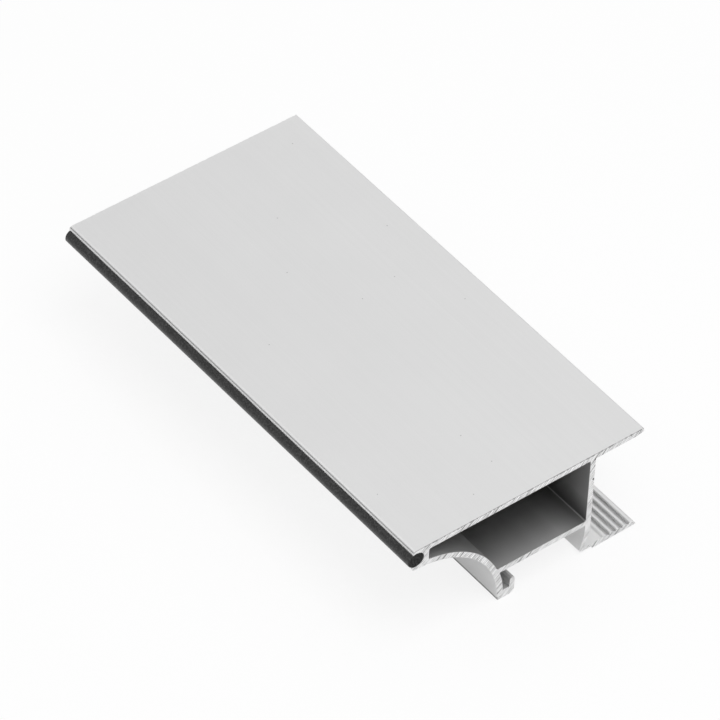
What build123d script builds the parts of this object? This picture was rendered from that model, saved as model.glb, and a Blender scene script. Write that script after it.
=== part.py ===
"""Handle and edge profile for an 18 mm furniture board: one aluminium extrusion and its rubber seal.

The section is drawn with x across the profile, from the leading edge of the face plate,
and y upwards, from the level that the profile rests on. It is then stood up and
extruded along Y, and centred over the origin.
"""
import os
from math import sqrt

from build123d import *

# Stock length
length = 84.0

# Face plate and the slot for the board behind it
plate_width = 43.2
plate_thickness = 1.0
tip_round_share = 0.5
plate_round_share = 0.3
board_gap = 18.2
overhang = 9.1

# Hollow chamber between the finger grip and the board
wall_thickness = 1.0
grip_setback = 0.2
grip_thickness = 1.0
base_thickness = 1.0
base_height = 5.8
web_thickness = 0.91
chamber_radius = 0.25

# Oval rubber seal, pressed into a groove in the leading edge
seal_half_width = 1.45
seal_half_height = 1.3
seal_clearance = 0.04
groove_inset = 0.62
groove_cover = 0.6
lip_thickness = 0.62
lip_reach = 0.13
lip_bevel = 0.33

# Hook at the foot of the finger grip
hook_stem = 1.15
stem_foot = 0.97
hook_slot = 1.31
hook_leg = 0.94
hook_floor = 1.62
hook_height = 3.3
hook_radius = 1.0
heel_radius = 0.3

# Leg that carries the tongue: it leans in under the chamber and ends in a rounded foot
kink_height = 3.8
kink_rise = 0.6
leg_lean = 0.95
leg_width = 0.75
foot_lift = 0.2
foot_round_share = 0.65

# Ribbed tongue under the board, tapered on its underside and bevelled at its tip
tongue_thickness = 1.2
tongue_taper = 0.18
tongue_bevel_width = 0.6
tongue_nose = 0.12
shoulder_offset = 1.15
shoulder_run = 0.25
rib_step = 0.1
rib_lead = 2.5
rib_first = 1.57
rib_pitch = 1.24
rib_crest = 0.37
rib_depth = 0.38
rib_lean = 0.1
rib_count = 4

# Levels and positions that follow from the sizes above
crest_level = tongue_thickness
plate_underside = crest_level + board_gap
plate_top = plate_underside + plate_thickness
wall_outer = plate_width - overhang
wall_inner = wall_outer - wall_thickness
base_top = base_height + base_thickness
groove_half_width = seal_half_width + seal_clearance
groove_half_height = seal_half_height + seal_clearance
groove_level = plate_top - groove_cover - groove_half_height
groove_bottom = groove_level - groove_half_height
grip_radius = groove_bottom - lip_thickness
grip_centre = Pos(grip_setback, 0)
groove_centre = Pos(groove_inset, groove_level)


def block(left, right, bottom, top):
    """A rectangle between two positions across and two levels."""
    return Pos(left, bottom) * Rectangle(right - left, top - bottom, align=(Align.MIN, Align.MIN))


def outline(*points):
    """A closed straight-sided outline."""
    return Polygon(*points, align=None)


def face_plate():
    """The flat plate that shows, with rounded long edges."""
    plate = block(0, plate_width, plate_underside, plate_top)
    plate = fillet(plate.vertices().group_by(Axis.X)[-1], plate_thickness * plate_round_share)
    leading_edge = plate.vertices().group_by(Axis.X)[0].sort_by(Axis.Y)[-1]
    return fillet(leading_edge, plate_thickness * tip_round_share)


def casing():
    """The walls round the chamber. The finger grip is a quarter round on the resting level."""
    chamber_left = groove_inset + groove_half_width + web_thickness
    outside = block(groove_inset, wall_outer, base_height, plate_top) - grip_centre * Circle(grip_radius)
    chamber = block(chamber_left, wall_inner, base_top, plate_underside)
    chamber -= grip_centre * Circle(grip_radius + grip_thickness)
    return outside - fillet(chamber.vertices(), chamber_radius)


def groove_lip():
    """The lip below the seal, bevelled at its tip and hollowed by the finger grip."""
    tip_share = sqrt(1 - ((groove_inset + lip_reach) / groove_half_width) ** 2)
    lip = outline(
        (-lip_reach, groove_level - groove_half_height * tip_share),
        (lip_bevel - lip_reach, grip_radius),
        (groove_inset, grip_radius - lip_thickness),
        (groove_inset, groove_level),
    )
    return lip - grip_centre * Circle(grip_radius)


def hook():
    """The finger grip's wall carried down to the floor and turned up into a narrow slot."""
    stem_right = grip_radius + stem_foot
    inner = stem_right + hook_slot
    outer = inner + hook_leg
    tip_radius = hook_leg / 2
    stem = Circle(grip_radius + hook_stem) & block(0, stem_right, 0, base_top)
    cup = block(grip_radius, outer, 0, hook_height - tip_radius)
    outer_corner = cup.vertices().group_by(Axis.Y)[0].sort_by(Axis.X)[-1]
    cup = fillet(outer_corner, hook_radius)
    cup -= block(grip_radius, inner, hook_floor, hook_height)
    cup += Pos(inner + tip_radius, hook_height - tip_radius) * Circle(tip_radius)
    cup += stem - Circle(grip_radius)
    heel = cup.vertices().group_by(Axis.Y)[0].sort_by(Axis.X)[0]
    return grip_centre * fillet(heel, heel_radius)


def leg_and_foot():
    """The back wall carried down past the chamber, leaning inwards to its foot."""
    foot_left = wall_inner - leg_lean
    foot_top = crest_level - rib_step
    lean_share = (kink_height - foot_top) / (kink_height - foot_lift)
    leg_right = wall_inner - leg_lean * lean_share + leg_width
    leg = outline(
        (wall_inner, base_top),
        (wall_inner, kink_height),
        (foot_left, foot_lift),
        (wall_outer + shoulder_offset, foot_lift),
        (wall_outer + shoulder_offset, foot_top),
        (leg_right, foot_top),
        (wall_outer, kink_height + kink_rise),
        (wall_outer, base_top),
    )
    heel = leg.vertices().group_by(Axis.Y)[0].sort_by(Axis.X)[0]
    return fillet(heel, (foot_top - foot_lift) * foot_round_share)


def tongue():
    """The tongue, with saw-tooth ribs that let the board in and hold it."""
    shoulder = wall_outer + shoulder_offset
    rib_start = wall_outer + rib_lead
    foot_top = crest_level - rib_step
    blade = outline(
        (shoulder, foot_lift),
        (shoulder + shoulder_run, 0),
        (plate_width, tongue_taper),
        (plate_width, tongue_taper + tongue_nose),
        (plate_width - tongue_bevel_width, crest_level),
        (rib_start, crest_level),
        (rib_start, foot_top),
        (shoulder, foot_top),
    )
    slope = rib_pitch - rib_crest
    for index in range(rib_count):
        crest = rib_start + rib_first + rib_pitch * index
        valley = crest - rib_lean
        blade -= outline((crest - slope, crest_level), (valley, crest_level - rib_depth), (crest, crest_level))
    return blade


def stand_up(section):
    """Extrude a section along Y, with the origin under the middle of the whole object."""
    seal_left = groove_inset - seal_half_width
    solid = extrude(Plane.XZ * section, amount=length / 2, both=True)
    return Pos(-(seal_left + plate_width) / 2, 0, 0) * solid


profile_section = face_plate() + casing() + groove_lip() + hook() + leg_and_foot() + tongue()
profile_section -= groove_centre * Ellipse(groove_half_width, groove_half_height)
seal_section = groove_centre * Ellipse(seal_half_width, seal_half_height)

os.makedirs("parts", exist_ok=True)
export_step(stand_up(profile_section), "parts/edge_profile.step")
export_step(stand_up(seal_section), "parts/rubber_seal.step")
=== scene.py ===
# %% [markdown]
# Aluminium edge profile with a rubber seal.
# The object is a short sawn length of extruded aluminium. A flat face plate covers the edge of a
# furniture board, a quarter round below it is the finger grip, a hollow chamber makes it stiff, and
# a ribbed tongue holds the board. A black rubber strip sits in a groove along the leading edge.
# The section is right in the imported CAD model, so this script starts from it and adds what the die,
# the saw and the anodising bath leave behind.

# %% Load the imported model
import math

import bmesh
import bpy
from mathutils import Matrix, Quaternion, Vector, noise


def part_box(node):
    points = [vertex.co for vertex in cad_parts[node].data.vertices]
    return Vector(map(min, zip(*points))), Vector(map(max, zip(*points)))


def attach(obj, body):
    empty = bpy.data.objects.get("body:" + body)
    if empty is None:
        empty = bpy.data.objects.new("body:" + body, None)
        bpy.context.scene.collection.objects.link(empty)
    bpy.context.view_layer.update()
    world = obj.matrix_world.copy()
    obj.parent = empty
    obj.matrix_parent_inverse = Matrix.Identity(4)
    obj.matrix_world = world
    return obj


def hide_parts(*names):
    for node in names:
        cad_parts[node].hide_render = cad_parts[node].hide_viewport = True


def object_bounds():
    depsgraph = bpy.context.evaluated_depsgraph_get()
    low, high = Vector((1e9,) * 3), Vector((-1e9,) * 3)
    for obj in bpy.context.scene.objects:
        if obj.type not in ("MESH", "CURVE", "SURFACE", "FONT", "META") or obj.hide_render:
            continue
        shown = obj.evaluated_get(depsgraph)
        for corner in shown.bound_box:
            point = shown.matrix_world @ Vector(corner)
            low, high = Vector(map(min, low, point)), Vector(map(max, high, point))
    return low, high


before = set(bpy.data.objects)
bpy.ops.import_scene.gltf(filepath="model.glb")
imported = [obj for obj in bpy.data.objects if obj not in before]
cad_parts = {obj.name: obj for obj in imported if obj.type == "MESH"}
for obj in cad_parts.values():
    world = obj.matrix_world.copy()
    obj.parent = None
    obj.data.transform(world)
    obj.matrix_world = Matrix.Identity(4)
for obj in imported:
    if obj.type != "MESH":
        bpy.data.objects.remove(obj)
scene = bpy.context.scene
cad_low, cad_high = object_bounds()
MM = 0.001
print("CAD box in mm:", [round(side / MM, 2) for side in cad_high - cad_low])

# %% [markdown]
# The camera stands in front of the sawn end, to the left and well above. The lens is long, so the far
# end of the stock looks almost as wide as the near end. The angles, the distance and the small roll
# come from matching the plate's four corners.

# %% Camera
look_at = Vector((3.465, 1.62, 10.2)) * MM
view_azimuth = math.radians(-39.8)
view_elevation = math.radians(44.55)
view_roll = math.radians(2.78)
view_distance = 944.65 * MM

towards_camera = Vector((
    math.sin(view_azimuth) * math.cos(view_elevation),
    -math.cos(view_azimuth) * math.cos(view_elevation),
    math.sin(view_elevation),
))
camera = bpy.data.objects.new("camera", bpy.data.cameras.new("camera"))
camera.data.sensor_width = 36.0
camera.data.lens = 314.16
camera.location = look_at + towards_camera * view_distance
camera.rotation_mode = "QUATERNION"
camera.rotation_quaternion = towards_camera.to_track_quat("Z", "Y") @ Quaternion((0, 0, 1), view_roll)
scene.collection.objects.link(camera)
scene.camera = camera
scene.view_settings.view_transform = "Standard"
print("camera at", [round(value / MM, 1) for value in camera.location], "mm")

# %% [markdown]
# Three small helpers serve every material. Colours are written as sRGB hex values, the way a paint
# program shows them, and Blender calculates with linear light, so one function converts them. Another
# adds a node, sets it up and joins its inputs, so that a material reads like a recipe. The third
# starts an empty material.

# %% Colour and node helpers
def srgb(code):
    """A hex colour such as #c0c0c0, as linear red, green, blue and alpha."""
    linear = []
    for start in (1, 3, 5):
        share = int(code[start:start + 2], 16) / 255
        linear.append(share / 12.92 if share <= 0.04045 else ((share + 0.055) / 1.055) ** 2.4)
    return linear + [1.0]


def add_node(tree, kind, inputs=None, **settings):
    """Adds one node with its settings. An input is a value, or the output of another node."""
    node = tree.nodes.new(kind)
    for name, value in settings.items():
        setattr(node, name, value)
    for socket, value in (inputs or {}).items():
        if isinstance(value, bpy.types.NodeSocket):
            tree.links.new(value, node.inputs[socket])
        else:
            node.inputs[socket].default_value = value
    return node


def new_material(name):
    """An empty material with its node tree and its output node."""
    material = bpy.data.materials.new(name)
    material.use_nodes = True
    material.node_tree.nodes.clear()
    return material, material.node_tree, material.node_tree.nodes.new("ShaderNodeOutputMaterial")


print("middle grey #808080 is", round(srgb("#808080")[0], 3), "in linear light")

# %% [markdown]
# The profile was pushed hot through a steel die, so its long faces carry very faint lines along its
# length. Then it was etched and anodised: a thin clear oxide that turns bright metal into even satin
# silver. To the eye that is a metal with a soft, wide highlight and hardly any pattern, so clouds and
# die lines change its tone only a little.

# %% Anodised aluminium
anodised, tree, output = new_material("anodised_aluminium_satin")
place = add_node(tree, "ShaderNodeTexCoord").outputs["Object"]

# Die lines are some 0.1 mm apart. They are drawn at 0.35 mm to show, and stretched along the stock.
die_line_spacing = 0.35 * MM
die_line_stretch = 250
die_line_share = 0.08
along_stock = add_node(tree, "ShaderNodeMapping", {
    "Vector": place, "Scale": (1.0, 1 / die_line_stretch, 1.0)})
die_lines = add_node(tree, "ShaderNodeTexNoise", {
    "Vector": along_stock.outputs["Vector"], "Scale": 1 / die_line_spacing, "Detail": 2.0, "Roughness": 0.6})

# The etched oxide is far finer than a pixel, so its grain is drawn at 0.3 mm.
etch_grain = 0.3 * MM
etch = add_node(tree, "ShaderNodeTexNoise", {
    "Vector": place, "Scale": 1 / etch_grain, "Detail": 3.0, "Roughness": 0.7})

cloud_size = 14 * MM
clouds = add_node(tree, "ShaderNodeTexNoise", {"Vector": place, "Scale": 1 / cloud_size, "Detail": 2.0})
tone = add_node(tree, "ShaderNodeMixRGB", {
    "Fac": clouds.outputs["Fac"], "Color1": srgb("#e6e6e6"), "Color2": srgb("#eaeaea")})
line_depth = add_node(tree, "ShaderNodeMath", {
    0: die_lines.outputs["Fac"], 1: die_line_share}, operation="MULTIPLY")
tone = add_node(tree, "ShaderNodeMixRGB", {
    "Fac": line_depth.outputs[0], "Color1": tone.outputs["Color"], "Color2": srgb("#a8a8a8")})
print(anodised.name, "starts with", len(tree.nodes), "nodes")

# %% [markdown]
# A piece that has been handled is never quite clean. A few specks of dust lie on the plate. The heel of
# the hook is painted dark along its length, and the finger grip is painted a little darker towards its
# foot: both are painted shade where the stock meets the table. Each of them is mixed over the tone.

# %% Dust and painted shade on the grip
# Dust: one point in each 6 mm cell, shown in one cell out of six, on faces that look up.
dust_cell = 6.0 * MM
dust_size = 0.1 * MM
dusty_above = 0.84
upward_above = 0.95
dust = add_node(tree, "ShaderNodeTexVoronoi", {
    "Vector": place, "Scale": 1 / dust_cell}, voronoi_dimensions="2D")
dust_near = add_node(tree, "ShaderNodeMath", {
    0: dust.outputs["Distance"], 1: dust_size / dust_cell}, operation="LESS_THAN")
cell_colour = add_node(tree, "ShaderNodeSeparateColor", {"Color": dust.outputs["Color"]})
dust_chosen = add_node(tree, "ShaderNodeMath", {
    0: cell_colour.outputs["Red"], 1: dusty_above}, operation="GREATER_THAN")
facing = add_node(tree, "ShaderNodeSeparateXYZ", {
    "Vector": add_node(tree, "ShaderNodeNewGeometry").outputs["Normal"]})
looks_up = add_node(tree, "ShaderNodeMath", {
    0: facing.outputs["Z"], 1: upward_above}, operation="GREATER_THAN")
dust_share = add_node(tree, "ShaderNodeMath", {
    0: dust_near.outputs[0], 1: dust_chosen.outputs[0]}, operation="MULTIPLY")
dust_share = add_node(tree, "ShaderNodeMath", {
    0: dust_share.outputs[0], 1: looks_up.outputs[0]}, operation="MULTIPLY")
tone = add_node(tree, "ShaderNodeMixRGB", {
    "Fac": dust_share.outputs[0], "Color1": tone.outputs["Color"], "Color2": srgb("#c0c0c0")})

# Painted shade up the grip, then along the heel: the height where it begins, the lower one where it is
# full, its colour.
painted_grip_shade = [(5.0 * MM, 1.0 * MM, "#dddddd"), (0.65 * MM, 0.45 * MM, "#888888")]
grip_shade_right = -3.0 * MM
position = add_node(tree, "ShaderNodeSeparateXYZ", {"Vector": place})
on_grip = add_node(tree, "ShaderNodeMath", {0: position.outputs["X"], 1: grip_shade_right}, operation="LESS_THAN")
for begins, full, colour in painted_grip_shade:
    lowness = add_node(tree, "ShaderNodeMapRange", {
        "Value": position.outputs["Z"], "From Min": begins, "From Max": full})
    painted_shade = add_node(tree, "ShaderNodeMath", {
        0: lowness.outputs["Result"], 1: on_grip.outputs[0]}, operation="MULTIPLY")
    tone = add_node(tree, "ShaderNodeMixRGB", {
        "Fac": painted_shade.outputs[0], "Color1": tone.outputs["Color"], "Color2": srgb(colour)})
print(anodised.name, "grows to", len(tree.nodes), "nodes")

# %% [markdown]
# Below its clear oxide the surface is still metal, so it mirrors the room, only softly. A roughness of
# about a third gives that satin. The grain and the die lines raise it by thousandths of a millimetre,
# which is too little for geometry, so they are bump.

# %% Satin surface
satin = add_node(tree, "ShaderNodeMapRange", {
    "Value": etch.outputs["Fac"], "To Min": 0.3, "To Max": 0.38})
relief = add_node(tree, "ShaderNodeBump", {
    "Strength": 0.25, "Distance": 0.004 * MM, "Height": etch.outputs["Fac"]})
relief = add_node(tree, "ShaderNodeBump", {
    "Strength": 0.3, "Distance": 0.006 * MM, "Height": die_lines.outputs["Fac"],
    "Normal": relief.outputs["Normal"]})
metal = add_node(tree, "ShaderNodeBsdfPrincipled", {
    "Base Color": tone.outputs["Color"], "Metallic": 0.9, "Roughness": satin.outputs["Result"],
    "Normal": relief.outputs["Normal"]})
tree.links.new(metal.outputs["BSDF"], output.inputs["Surface"])
print(anodised.name, "with", len(tree.nodes), "nodes")

# %% [markdown]
# Inside the chamber the metal has its mill finish: the bath's current reaches only the first few
# millimetres of a narrow tube, and deeper in the metal stays as the die left it, a little streaky. Its
# greyer colour is partly painted shade for the hollow, and its tone is painted lighter near each end and
# darker deeper in, as painted shade. Round the chamber's back corner the metal is painted darker, as
# painted shade in the corner, and a fine painted highlight runs along the corner itself.

# %% Mill-finish aluminium with painted shade
mill_finish_and_shade, tree, output = new_material("mill_finish_aluminium")
place = add_node(tree, "ShaderNodeTexCoord").outputs["Object"]
streak_spacing = 0.6 * MM
streak_stretch = 50
along_stock = add_node(tree, "ShaderNodeMapping", {
    "Vector": place, "Scale": (1.0, 1 / streak_stretch, 1.0)})
streaks = add_node(tree, "ShaderNodeTexNoise", {
    "Vector": along_stock.outputs["Vector"], "Scale": 1 / streak_spacing, "Detail": 3.0, "Roughness": 0.6})
# The greyer base colour is partly painted shade for the hollow chamber.
tone = add_node(tree, "ShaderNodeMixRGB", {
    "Fac": streaks.outputs["Fac"], "Color1": srgb("#a4a4a4"), "Color2": srgb("#b0b0b0")})

# Painted light and shade: the metal is drawn lighter over the first 7 mm from each end, greyer deeper in.
painted_light_reach = 7 * MM
position = add_node(tree, "ShaderNodeSeparateXYZ", {"Vector": place})
from_middle = add_node(tree, "ShaderNodeMath", {0: position.outputs["Y"]}, operation="ABSOLUTE")
painted_end_light = add_node(tree, "ShaderNodeMapRange", {
    "Value": from_middle.outputs[0], "From Min": cad_high.y - painted_light_reach, "From Max": cad_high.y})
tone = add_node(tree, "ShaderNodeMixRGB", {
    "Fac": painted_end_light.outputs["Result"], "Color1": tone.outputs["Color"], "Color2": srgb("#c6c6c6")})

# Painted shade darkens the metal round the chamber's back corner, and a fine painted highlight runs along it.
corner_place = Vector((11.9, 0.0, 6.85)) * MM
corner_highlight_width = 0.18 * MM
corner_shade_reach, corner_shade_core = 4.5 * MM, 0.5 * MM
flat_place = add_node(tree, "ShaderNodeVectorMath", {0: place, 1: (1.0, 0.0, 1.0)}, operation="MULTIPLY")
from_corner = add_node(tree, "ShaderNodeVectorMath", {
    0: flat_place.outputs["Vector"], 1: corner_place}, operation="DISTANCE")
corner_shade = add_node(tree, "ShaderNodeMapRange", {
    "Value": from_corner.outputs["Value"], "From Min": corner_shade_reach, "From Max": corner_shade_core})
tone = add_node(tree, "ShaderNodeMixRGB", {
    "Fac": corner_shade.outputs["Result"], "Color1": tone.outputs["Color"], "Color2": srgb("#8a8a8a")})
corner_highlight = add_node(tree, "ShaderNodeMapRange", {
    "Value": from_corner.outputs["Value"], "From Min": corner_highlight_width, "From Max": 0.5 * corner_highlight_width})
tone = add_node(tree, "ShaderNodeMixRGB", {
    "Fac": corner_highlight.outputs["Result"], "Color1": tone.outputs["Color"], "Color2": srgb("#cccccc")})
dullness = add_node(tree, "ShaderNodeMapRange", {
    "Value": streaks.outputs["Fac"], "To Min": 0.56, "To Max": 0.66})
metal = add_node(tree, "ShaderNodeBsdfPrincipled", {
    "Base Color": tone.outputs["Color"], "Metallic": 1.0, "Roughness": dullness.outputs["Result"]})
tree.links.new(metal.outputs["BSDF"], output.inputs["Surface"])
print(mill_finish_and_shade.name, "with", len(tree.nodes), "nodes")

# %% [markdown]
# The ends were cut on a circular saw after anodising, so they are bare metal. Each tooth leaves a
# shallow arc about the blade's axis, and together the arcs look like slanting streaks, lighter and
# darker. The distance from the blade's axis, fed into a sine wave that a noise shifts to and fro, draws
# such arcs.

# %% Sawn aluminium
sawn, tree, output = new_material("sawn_aluminium_bare")
place = add_node(tree, "ShaderNodeTexCoord").outputs["Object"]

# A 300 mm blade, whose axis lies up and to the left of the section.
blade_radius = 150 * MM
stroke_angle = math.radians(40)
blade_axis = Vector((-math.sin(stroke_angle), 0, math.cos(stroke_angle))) * blade_radius
flat_place = add_node(tree, "ShaderNodeVectorMath", {0: place, 1: (1.0, 0.0, 1.0)}, operation="MULTIPLY")
from_axis = add_node(tree, "ShaderNodeVectorMath", {
    0: flat_place.outputs["Vector"], 1: blade_axis}, operation="DISTANCE")

# The strokes lie 0.34 mm apart on average, and wander by up to 9 radians of the wave.
tooth_spacing = 0.34 * MM
wander_length = 0.5 * MM
wander_turn = 9.0
wander = add_node(tree, "ShaderNodeTexNoise", {
    "W": from_axis.outputs["Value"], "Scale": 1 / wander_length, "Detail": 1.0}, noise_dimensions="1D")
even_turn = add_node(tree, "ShaderNodeMath", {
    0: from_axis.outputs["Value"], 1: 2 * math.pi / tooth_spacing}, operation="MULTIPLY")
stroke_turn = add_node(tree, "ShaderNodeMath", {
    0: wander.outputs["Fac"], 1: wander_turn, 2: even_turn.outputs[0]}, operation="MULTIPLY_ADD")
strokes = add_node(tree, "ShaderNodeMath", {0: stroke_turn.outputs[0]}, operation="SINE")
streak = add_node(tree, "ShaderNodeMapRange", {
    "Value": strokes.outputs[0], "From Min": -0.6, "From Max": 1.0})

# The strokes are fainter in patches of about a millimetre.
patch_size = 1.1 * MM
patches = add_node(tree, "ShaderNodeTexNoise", {"Vector": place, "Scale": 1 / patch_size, "Detail": 2.0})
patch = add_node(tree, "ShaderNodeMapRange", {
    "Value": patches.outputs["Fac"], "From Min": 0.32, "From Max": 0.62, "To Min": 0.45})
streak = add_node(tree, "ShaderNodeMath", {
    0: streak.outputs["Result"], 1: patch.outputs["Result"]}, operation="MULTIPLY")
tone = add_node(tree, "ShaderNodeMixRGB", {
    "Fac": streak.outputs[0], "Color1": srgb("#ffffff"), "Color2": srgb("#888888")})
print(sawn.name, "starts with", len(tree.nodes), "nodes")

# %% [markdown]
# Two accidents of this cut are worth keeping, because they show that a real saw made it. One deep
# scratch runs across the near end where the tongue leaves the foot of the leg, and two nicks on the outer
# edge of the back wall are drawn with dark spots in them. Both are small dark marks in the material.

# %% Scratch and dark spots in the nicks
scratch_middle = Vector((14.05, cad_low.y / MM, 0.6)) * MM
scratch_angle = math.radians(52)
scratch_half_width = 0.075 * MM
scratch_reach = 0.85 * MM
scratch_side = Vector((-math.sin(scratch_angle), 0, math.cos(scratch_angle)))
beside = add_node(tree, "ShaderNodeVectorMath", {0: place, 1: scratch_side}, operation="DOT_PRODUCT")
scratch_offset = scratch_side.dot(scratch_middle)
on_scratch = add_node(tree, "ShaderNodeMath", {
    0: beside.outputs["Value"], 1: scratch_offset, 2: scratch_half_width}, operation="COMPARE")
apart = add_node(tree, "ShaderNodeVectorMath", {0: place, 1: scratch_middle}, operation="DISTANCE")
near_scratch = add_node(tree, "ShaderNodeMath", {
    0: apart.outputs["Value"], 1: scratch_reach}, operation="LESS_THAN")
scratch = add_node(tree, "ShaderNodeMath", {
    0: on_scratch.outputs[0], 1: near_scratch.outputs[0]}, operation="MULTIPLY")
tone = add_node(tree, "ShaderNodeMixRGB", {
    "Fac": scratch.outputs[0], "Color1": tone.outputs["Color"], "Color2": srgb("#404040")})

# Each dark spot in a nick: its place across, its height and its size, in mm.
nick_marks = [(12.88, 19.35, 0.3), (12.75, 15.25, 0.26)]
for x, z, size in nick_marks:
    apart = add_node(tree, "ShaderNodeVectorMath", {
        0: place, 1: Vector((x, cad_low.y / MM, z)) * MM}, operation="DISTANCE")
    speck = add_node(tree, "ShaderNodeMapRange", {
        "Value": apart.outputs["Value"], "From Min": size * MM, "From Max": 0.6 * size * MM})
    tone = add_node(tree, "ShaderNodeMixRGB", {
        "Fac": speck.outputs["Result"], "Color1": tone.outputs["Color"], "Color2": srgb("#3c3c3c")})
relief = add_node(tree, "ShaderNodeBump", {
    "Strength": 0.6, "Distance": 0.015 * MM, "Height": strokes.outputs[0]})
metal = add_node(tree, "ShaderNodeBsdfPrincipled", {
    "Base Color": tone.outputs["Color"], "Metallic": 1.0, "Roughness": 0.42,
    "Normal": relief.outputs["Normal"]})
tree.links.new(metal.outputs["BSDF"], output.inputs["Surface"])
print(sawn.name, "with", len(tree.nodes), "nodes")

# %% [markdown]
# Along the top of each cut the saw tore the edge instead of slicing it. Torn metal is rough, and the shade
# in its hollows is painted into its colour, darker than the cut face beside it. It is one even, dull metal.

# %% Torn aluminium with painted shade
torn, tree, output = new_material("torn_aluminium_painted_shade")
# Its darker base colour is painted shade for the torn hollows.
metal = add_node(tree, "ShaderNodeBsdfPrincipled", {
    "Base Color": srgb("#b0b0b0"), "Metallic": 1.0, "Roughness": 0.6})
tree.links.new(metal.outputs["BSDF"], output.inputs["Surface"])
print(torn.name, "with", len(tree.nodes), "nodes")

# %% [markdown]
# The seal is an extruded strip of black synthetic rubber. Carbon black makes it nearly black, its skin is
# dull, and handling leaves it slightly blotchy. Its edge turned to the floor picks up a grey sheen.

# %% Black rubber
rubber, tree, output = new_material("black_epdm_rubber")
place = add_node(tree, "ShaderNodeTexCoord").outputs["Object"]
blotch_size = 1.4 * MM
blotches = add_node(tree, "ShaderNodeTexNoise", {
    "Vector": place, "Scale": 1 / blotch_size, "Detail": 4.0, "Roughness": 0.65})
skin_grain = 0.28 * MM
skin = add_node(tree, "ShaderNodeTexNoise", {
    "Vector": place, "Scale": 1 / skin_grain, "Detail": 2.0, "Roughness": 0.6})
blotchy = add_node(tree, "ShaderNodeMapRange", {
    "Value": blotches.outputs["Fac"], "From Min": 0.35, "From Max": 0.7})
tone = add_node(tree, "ShaderNodeMixRGB", {
    "Fac": blotchy.outputs["Result"], "Color1": srgb("#121212"), "Color2": srgb("#262626")})
speckle = add_node(tree, "ShaderNodeMapRange", {
    "Value": skin.outputs["Fac"], "From Min": 0.45, "From Max": 0.68, "To Max": 0.9})
tone = add_node(tree, "ShaderNodeMixRGB", {
    "Fac": speckle.outputs["Result"], "Color1": tone.outputs["Color"], "Color2": srgb("#424242")})
dullness = add_node(tree, "ShaderNodeMapRange", {
    "Value": skin.outputs["Fac"], "To Min": 0.55, "To Max": 0.75})
relief = add_node(tree, "ShaderNodeBump", {
    "Strength": 0.5, "Distance": 0.02 * MM, "Height": skin.outputs["Fac"]})
strip = add_node(tree, "ShaderNodeBsdfPrincipled", {
    "Base Color": tone.outputs["Color"], "IOR": 1.5, "Roughness": dullness.outputs["Result"],
    "Sheen Weight": 0.55, "Sheen Roughness": 0.4, "Normal": relief.outputs["Normal"]})
tree.links.new(strip.outputs["BSDF"], output.inputs["Surface"])
print(rubber.name, "with", len(tree.nodes), "nodes")

# %% [markdown]
# A knife cut the strip to length. The cut shows the bulk of the rubber without its skin, so it has no
# sheen and is a deeper, crumbly black. The crumbs are drawn as coarse as the grain of the skin, to show.

# %% Cut rubber
cut_rubber, tree, output = new_material("black_epdm_rubber_cut")
place = add_node(tree, "ShaderNodeTexCoord").outputs["Object"]
crumbs = add_node(tree, "ShaderNodeTexNoise", {
    "Vector": place, "Scale": 1 / skin_grain, "Detail": 2.0, "Roughness": 0.6})
crumbly = add_node(tree, "ShaderNodeMapRange", {
    "Value": crumbs.outputs["Fac"], "From Min": 0.42, "From Max": 0.6})
tone = add_node(tree, "ShaderNodeMixRGB", {
    "Fac": crumbly.outputs["Result"], "Color1": srgb("#101010"), "Color2": srgb("#3c3c3c")})
relief = add_node(tree, "ShaderNodeBump", {
    "Strength": 0.6, "Distance": 0.03 * MM, "Height": crumbs.outputs["Fac"]})
strip = add_node(tree, "ShaderNodeBsdfPrincipled", {
    "Base Color": tone.outputs["Color"], "IOR": 1.5, "Specular IOR Level": 0.25, "Roughness": 0.85,
    "Normal": relief.outputs["Normal"]})
tree.links.new(strip.outputs["BSDF"], output.inputs["Surface"])
print(cut_rubber.name, "with", len(tree.nodes), "nodes")

# %% [markdown]
# Every long line of the stock comes from one flat outline, so the outline is read from the near end
# of the CAD node. The face there is a fan of triangles. An edge that only one triangle uses lies on the
# rim, and walking along these edges gives closed loops: one outside, and one round the chamber.

# %% Read the section from the CAD node
same_level = 0.001 * MM
same_point_digits = 7


def end_loops(node):
    """The outlines of a node's near end as loops of (x, z) points. The metal lies on the left."""
    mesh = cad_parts[node].data
    end_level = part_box(node)[0].y
    rim = {}
    for face in mesh.polygons:
        corners = [mesh.vertices[index].co for index in face.vertices]
        if max(corner.y for corner in corners) > end_level + same_level:
            continue
        keys = [tuple(round(value, same_point_digits) for value in corner.xz) for corner in corners]
        for start, stop in zip(keys, keys[1:] + keys[:1]):
            if (stop, start) in rim:
                del rim[(stop, start)]
            else:
                rim[(start, stop)] = True
    onward = dict(rim.keys())
    loops = []
    while onward:
        first, point = onward.popitem()
        loop = [first]
        while point != first:
            loop.append(point)
            point = onward.pop(point)
        loops.append([Vector(point) for point in loop])
    return sorted(loops, key=len, reverse=True)


profile_loops = end_loops("edge_profile")
seal_loops = end_loops("rubber_seal")
print("points in the profile's loops:", [len(loop) for loop in profile_loops])
print("points in the seal's loop:", [len(loop) for loop in seal_loops])

# %% [markdown]
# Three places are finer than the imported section. The foot of the leg is thinner, so that the tongue
# starts with a clear step below it. The ribs have humped backs that fall off steeply into the valleys,
# after a short ramp. And the plate's back edge is bevelled underneath, like the tip of the tongue, so
# that the board slips in. Moving a few points of the loop is enough for all of it.

# %% Finer foot, ribs and back edge
# The foot keeps about two thirds of its thickness, and its step moves towards the leg.
foot_left, shoulder_left, shoulder_right = 10.5 * MM, 14.0 * MM, 14.4 * MM
foot_top = 1.1 * MM
foot_share = 0.65
shoulder_shift = 0.6 * MM

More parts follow.
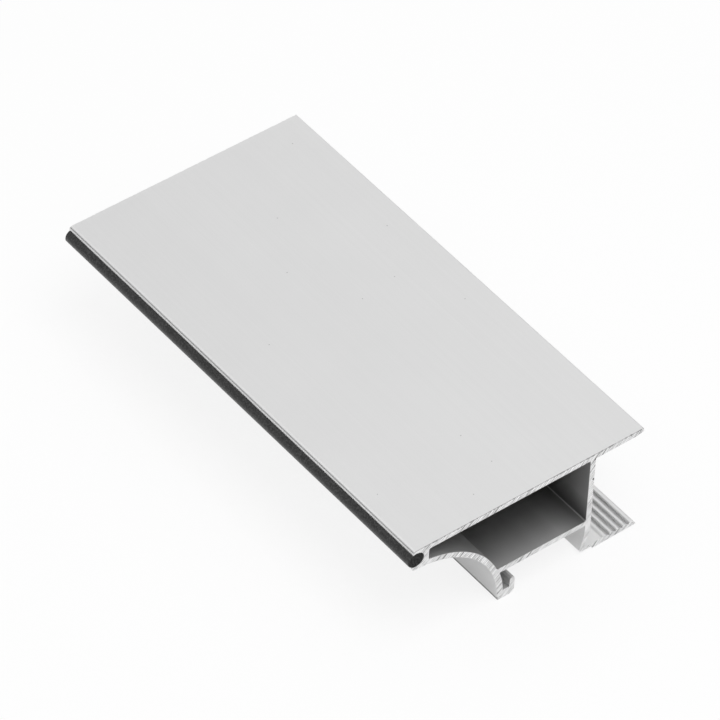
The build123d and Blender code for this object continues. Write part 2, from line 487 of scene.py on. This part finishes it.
# Ribs: where they lie, how far their backs reach out, and how the valleys and the first ramp change.
ribs_from, ribs_below = 15.3 * MM, 1.3 * MM
rib_level = 1.2 * MM
rib_back = 0.7 * MM
rib_hump = 0.18 * MM
valley_level = 0.9 * MM
valley_drop = 0.08 * MM
valley_shift = 0.1 * MM
ramp_run = 0.45 * MM

# The plate's back edge.
plate_thickness = 1.0 * MM
bevel_width, bevel_height = 1.2 * MM, 0.35 * MM
back_edge_round = 0.25 * MM

# Levels closer than this count as one, and sharp valleys are rounded no more than this.
hair = 0.01 * MM


def on_back_edge(point):
    """Whether a point belongs to the back edge of the plate."""
    return point.x > cad_high.x - plate_thickness / 2 and point.y > cad_high.z - 1.5 * plate_thickness


def back_edge():
    """The plate's back edge from its underside to its top: a bevel, a short flat and a small round."""
    underside = cad_high.z - plate_thickness
    points = [Vector((cad_high.x - bevel_width, underside)), Vector((cad_high.x, underside + bevel_height))]
    middle = Vector((cad_high.x - back_edge_round, cad_high.z - back_edge_round))
    for degrees in range(0, 91, 15):
        turn = math.radians(degrees)
        points.append(middle + back_edge_round * Vector((math.cos(turn), math.sin(turn))))
    return points


def finer(loop):
    """The loop with a bevelled back edge, a slimmer foot and ribs whose backs reach towards the valley."""
    made = []
    for index, point in enumerate(loop):
        if on_back_edge(point):
            if not on_back_edge(loop[index - 1]):
                made += back_edge()
            continue
        moved = point.copy()
        if foot_left < point.x < shoulder_right and point.y < foot_top:
            if point.x > shoulder_left:
                moved.x -= shoulder_shift
            if point.y > hair:
                moved.y = foot_top - (foot_top - point.y) * foot_share
        elif point.x > ribs_from and abs(point.y - rib_level) < hair:
            before, after = loop[index - 1], loop[(index + 1) % len(loop)]
            if before.y < rib_level - hair and before.x - point.x > rib_back:
                moved.x += rib_hump
            elif abs(after.y - foot_top) < hair:
                moved.x += ramp_run
        elif point.x > ribs_from and valley_level > point.y > valley_level / 2:
            moved.y -= valley_drop
            moved.x += valley_shift
        made.append(moved)
    return made


fine_loops = [finer(loop) for loop in profile_loops]
print("points in the finer loops:", [len(loop) for loop in fine_loops])

# %% [markdown]
# A die never has a perfectly sharp corner. Rounding each corner of the outline by a tenth of a
# millimetre gives the fine light lines along hook and lips. The ribs are rounder: their backs bend over
# from the crest to the valley, so they shade softly.

# %% Round the outline
die_radius = 0.1 * MM
flat_turn = math.radians(2)
sharp_turn = math.radians(35)
arc_step = math.radians(8)
arc_share = 0.45

# The CAD model draws its curves with runs shorter than this, so a turn between longer runs is a kink.
curve_run = 2.0 * MM

# A rib's back takes most of the run down to the valley and part of the crest, its front less of both.
# Valleys stay sharp.
rib_back_share, rib_crest_share = 0.85, 0.42
rib_front_share = 0.28


def corner_cuts(corner, arriving, leaving, turn):
    """How much of the run before a corner and of the run after it the corner's arc takes."""
    runs = arriving.length, leaving.length
    if corner.x > ribs_from and corner.y < ribs_below:
        if arriving.cross(leaving) < 0:
            return hair, hair
        is_back = arriving.y > 0 and abs(arriving.x) > arriving.y
        shares = (rib_back_share, rib_crest_share) if is_back else (rib_front_share, rib_front_share)
        return [share * run for share, run in zip(shares, runs)]
    room = arc_share * min(runs)
    is_curve = turn < sharp_turn and min(runs) < curve_run
    cut = room if is_curve else min(die_radius * math.tan(turn / 2), room)
    return cut, cut


def rounded(loop):
    """The loop with an arc at each corner: small where it is sharp, long where it is part of a curve."""
    made = []
    for index, corner in enumerate(loop):
        before = loop[index - 1]
        after = loop[(index + 1) % len(loop)]
        arriving = corner - before
        leaving = after - corner
        turn = abs(arriving.angle_signed(leaving))
        if turn < flat_turn:
            made.append(corner)
            continue
        cut_before, cut_after = corner_cuts(corner, arriving, leaving, turn)
        start = corner - arriving.normalized() * cut_before
        stop = corner + leaving.normalized() * cut_after
        steps = max(2, round(turn / arc_step))
        for step in range(steps + 1):
            share = step / steps
            made.append(start.lerp(corner, share).lerp(corner.lerp(stop, share), share))
    return made


round_loops = [rounded(loop) for loop in fine_loops]
print("points in the rounded loops:", [len(loop) for loop in round_loops])

# %% [markdown]
# The saw leaves marks along the cut edges, and a mark in geometry needs points that can move. So the
# straight runs are divided, most finely along the plate's top, where the cut edge shows most.

# %% Divide the outline
top_band = 0.35 * MM
top_spacing, plain_spacing = 0.1 * MM, 0.25 * MM


def divided(loop, longest):
    """The loop with points added on long runs. longest(point) gives the wanted spacing."""
    made = []
    for index, point in enumerate(loop):
        after = loop[(index + 1) % len(loop)]
        steps = max(1, math.ceil((after - point).length / longest((point + after) / 2)))
        made += [point.lerp(after, step / steps) for step in range(steps)]
    return made


def edge_spacing(point):
    """The spacing of points along the cut edge of the metal."""
    return top_spacing if point.y > cad_high.z - top_band else plain_spacing


profile_outline = [divided(loop, edge_spacing) for loop in round_loops]
print("points in the outline:", [len(loop) for loop in profile_outline])

# %% [markdown]
# The saw breaks the edge of each cut a little. The amount changes along the outline: a small even part, a
# part that follows the saw's strokes, tears along the plate's top, and a few deeper nicks. A break is
# never so deep that the cut outline would fold over itself at a tight corner.

# %% Broken edges at the saw cuts
# Each nick of the near end: its place in the section and its depth.
nicks = [
    (Vector((13.015, 19.35)) * MM, 0.06 * MM),
    (Vector((12.915, 15.25)) * MM, 0.07 * MM),
    (Vector((19.6, 20.4)) * MM, 0.2 * MM),
    (Vector((21.15, 19.49)) * MM, 0.2 * MM),
    (Vector((-4.48, 0.4)) * MM, 0.18 * MM),
]
nick_reach = 0.22 * MM
even_break, stroke_break = 0.04 * MM, 0.02 * MM

# Tears run along the plate's top. The weights say how much of the noise and of the strokes goes into them.
torn_band = 0.2 * MM
top_break, tear_break = 0.08 * MM, 0.14 * MM
tear_length = 0.5 * MM
tear_weight, stroke_weight, tear_start = 2.5, 0.5, 0.1

# The lips of the groove end in tips thinner than a tear, and the saw left them whole.
lips_right = -20.9 * MM
lip_break = 0.01 * MM

# Each run of the outline keeps at least this share of its length at the cut.
shortest_left = 0.15
most_halvings = 10


def edge_break(point, end):
    """How far the saw broke the edge at a point of the outline, at one end of the stock."""
    # The second and third places in the noise only give each end and each kind of break its own pattern.
    across = Vector((point.x, 0, point.y)) - blade_axis
    stroke = noise.noise(Vector((across.length / tooth_spacing, 3.0 * end, 0.0)))
    tear = noise.noise(Vector((point.x / tear_length, 7.0 * end, 0.5)))
    on_top = point.y > cad_high.z - torn_band
    if point.x < lips_right and not on_top:
        return lip_break
    depth = even_break + stroke_break * max(0.0, stroke)
    if on_top:
        torn_share = tear_weight * tear + stroke_weight * stroke + tear_start
        depth = top_break + tear_break * min(1.0, max(0.0, torn_share))
    if end < 0:
        for nick, size in nicks:
            depth += size * math.exp(-((point - nick).length / nick_reach) ** 2)
    return depth


def outward(loop, index):
    """The direction that points away from the metal at a point of a loop."""
    run = loop[(index + 1) % len(loop)] - loop[index - 1]
    return Vector((run.y, -run.x)).normalized()


def safe_depths(loop, sides, depths):
    """The depths, halved wherever they would turn the cut outline over itself at a tight corner."""
    safe = list(depths)
    for attempt in range(most_halvings):
        drawn = [point - side * depth for point, side, depth in zip(loop, sides, safe)]
        for index in range(len(loop)):
            run = loop[index] - loop[index - 1]
            if (drawn[index] - drawn[index - 1]).dot(run) < shortest_left * run.length_squared:
                safe[index - 1] /= 2
                safe[index] /= 2
    return safe


print("edge break on the plate in mm:", round(edge_break(Vector((0.0, cad_high.z)), -1) / MM, 3))

# %% [markdown]
# The mesh is a stack of rings along Y. The first and the last ring are drawn in by the broken edge and
# filled as sawn faces, the next ones have the full outline, and long quads join them. A modifier could
# bevel the ends too, but only evenly, and this way each point of the edge has a depth of its own.

# %% Build the profile
near_end, far_end = cad_low.y, cad_high.y
torn_depth = 0.07 * MM
sharp_edge = math.radians(38)


def loft(name, loops, finishes, break_size, break_slant, middle_rings):
    """A closed bar from the loops, with broken edges and a flat face at each end.
    The first finish is for the ends, each loop's own finish follows, and the last is for
    deep breaks. The break reaches break_slant times as far along the stock as it does into
    the cut face."""
    mesh = bpy.data.meshes.new(name)
    bm = bmesh.new()
    spans = middle_rings + 1
    levels = [(near_end, -1, True), (near_end, -1, False)]
    levels += [(near_end + (far_end - near_end) * step / spans, 0, False) for step in range(1, spans)]
    levels += [(far_end, 1, False), (far_end, 1, True)]
    for number, loop in enumerate(loops):
        sides = [outward(loop, index) for index in range(len(loop))]
        depths = {0: [0.0] * len(loop)}
        for end in (-1, 1):
            depths[end] = safe_depths(loop, sides, [break_size(point, end) for point in loop])
        rings = []
        for level, end, is_cut in levels:
            ring = []
            for point, side, depth in zip(loop, sides, depths[end]):
                flat = point - side * depth if is_cut else point
                inset = 0.0 if is_cut else -end * depth * break_slant
                ring.append(bm.verts.new((flat.x, level + inset, flat.y)))
            rings.append(ring)
        for step, (ring, following) in enumerate(zip(rings, rings[1:])):
            end = {0: -1, len(rings) - 2: 1}.get(step, 0)
            for index in range(len(ring)):
                wall = bm.faces.new((ring[index - 1], following[index - 1], following[index], ring[index]))
                is_torn = depths[end][index] > torn_depth
                wall.material_index = len(loops) + 1 if is_torn else number + 1
    bm.normal_update()
    for end_level, direction in ((near_end, -1.0), (far_end, 1.0)):
        open_edges = [edge for edge in bm.edges if edge.is_boundary]
        rim = [edge for edge in open_edges if abs(edge.verts[0].co.y - end_level) < same_level]
        bmesh.ops.triangle_fill(bm, edges=rim, use_beauty=True, normal=(0, direction, 0))
    bmesh.ops.recalc_face_normals(bm, faces=bm.faces)
    for face in bm.faces:
        face.smooth = True
    bm.to_mesh(mesh)
    bm.free()
    mesh.set_sharp_from_angle(angle=sharp_edge)
    for finish in finishes:
        mesh.materials.append(finish)
    made = bpy.data.objects.new(name, mesh)
    scene.collection.objects.link(made)
    return made


metal_finishes = [sawn, anodised, mill_finish_and_shade, torn]
profile = loft(
    "extruded_profile", profile_outline, metal_finishes, edge_break, break_slant=0.3, middle_rings=6)
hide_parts("edge_profile")
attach(profile, "root")
print("profile faces:", len(profile.data.polygons))

# %% [markdown]
# The seal is built the same way from its own oval. A knife cut it, so its edges are rounder and softer
# than the metal's.

# %% Build the seal
seal_spacing = 0.15 * MM
knife_drag, knife_waver = 0.09 * MM, 0.05 * MM
seal_outline = [divided(rounded(loop), lambda point: seal_spacing) for loop in seal_loops]


def soft_edge(point, end):
    """The knife drags the rubber's edge inwards by a slightly uneven amount."""
    return knife_drag + knife_waver * noise.noise(Vector((point.x / MM, 2.0 * end, point.y / MM)))


rubber_finishes = [cut_rubber, rubber, rubber]
seal = loft(
    "pressed_in_seal", seal_outline, rubber_finishes, soft_edge, break_slant=1.0, middle_rings=40)
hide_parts("rubber_seal")
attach(seal, "root")
print("seal faces:", len(seal.data.polygons))

# %% [markdown]
# The stock lies on a white table under soft light. The table is plain white. For the camera and for
# reflections it is partly self-lit, so that the picture's ground is white, and it still takes the shadow.

# %% Floor
floor_half_width = 6.0
seen_share, mirrored_share = 0.84, 0.4
white_table, tree, output = new_material("white_table")
matte = add_node(tree, "ShaderNodeBsdfDiffuse", {"Color": srgb("#eeeeee")})
lit = add_node(tree, "ShaderNodeEmission", {"Color": srgb("#ffffff"), "Strength": 1.0})
rays = add_node(tree, "ShaderNodeLightPath")
mirrored = add_node(tree, "ShaderNodeMath", {
    0: rays.outputs["Is Glossy Ray"], 1: rays.outputs["Is Transmission Ray"]}, operation="MAXIMUM")
mirrored = add_node(tree, "ShaderNodeMath", {
    0: mirrored.outputs[0], 1: mirrored_share}, operation="MULTIPLY")
seen = add_node(tree, "ShaderNodeMath", {
    0: rays.outputs["Is Camera Ray"], 1: seen_share}, operation="MULTIPLY")
self_lit = add_node(tree, "ShaderNodeMath", {
    0: seen.outputs[0], 1: mirrored.outputs[0]}, operation="MAXIMUM")
table = add_node(tree, "ShaderNodeMixShader", {
    0: self_lit.outputs[0], 1: matte.outputs["BSDF"], 2: lit.outputs["Emission"]})
tree.links.new(table.outputs["Shader"], output.inputs["Surface"])

floor_mesh = bpy.data.meshes.new("floor")
bm = bmesh.new()
bmesh.ops.create_grid(bm, x_segments=4, y_segments=4, size=floor_half_width)
bm.to_mesh(floor_mesh)
bm.free()
floor = bpy.data.objects.new("floor", floor_mesh)
floor.data.materials.append(white_table)
scene.collection.objects.link(floor)
print("floor is", round(floor.dimensions.x, 1), "m wide")

# %% [markdown]
# Light comes from a bright ceiling that fades towards dimmer walls, and from one large soft box above the
# stock. The dimmer walls matter: rounded edges mirror them and turn into fine grey lines. A white card at
# the back right throws some light under the plate, and the backs of the ribs mirror it.

# %% Light
world = bpy.data.worlds.new("soft_studio")
world.use_nodes = True
scene.world = world
tree = world.node_tree
tree.nodes.clear()
direction = add_node(tree, "ShaderNodeSeparateXYZ", {
    "Vector": add_node(tree, "ShaderNodeTexCoord").outputs["Generated"]})

# The walls turn into the ceiling between 31 and 46 degrees above the horizon. These are their sines.
wall_top, ceiling_edge = 0.52, 0.72
ceiling_share = add_node(tree, "ShaderNodeMapRange", {
    "Value": direction.outputs["Z"], "From Min": wall_top, "From Max": ceiling_edge},
    interpolation_type="SMOOTHSTEP")
room = add_node(tree, "ShaderNodeMixRGB", {
    "Fac": ceiling_share.outputs["Result"], "Color1": srgb("#7c7c7c"), "Color2": srgb("#ffffff")})
sky = add_node(tree, "ShaderNodeBackground", {"Color": room.outputs["Color"], "Strength": 0.98})
add_node(tree, "ShaderNodeOutputWorld", {"Surface": sky.outputs["Background"]})


def soft_lamp(name, width, height, energy, location):
    """A rectangular lamp, in metres and watts, that faces the stock."""
    lamp = bpy.data.objects.new(name, bpy.data.lights.new(name, "AREA"))
    lamp.data.shape = "RECTANGLE"
    lamp.data.size = width
    lamp.data.size_y = height
    lamp.data.energy = energy
    lamp.location = location
    lamp.rotation_mode = "QUATERNION"
    lamp.rotation_quaternion = Vector(location).to_track_quat("Z", "Y")
    scene.collection.objects.link(lamp)


soft_lamp("soft_box", width=0.6, height=0.6, energy=5.0, location=(-0.05, -0.35, 1.0))
soft_lamp("white_card", width=0.7, height=0.34, energy=0.6, location=(0.74, 0.56, 0.46))

# %% [markdown]
# The dressed piece has to stay within the box of the CAD model, because other parts are fitted to that one.

# %% Finish
bpy.context.view_layer.update()
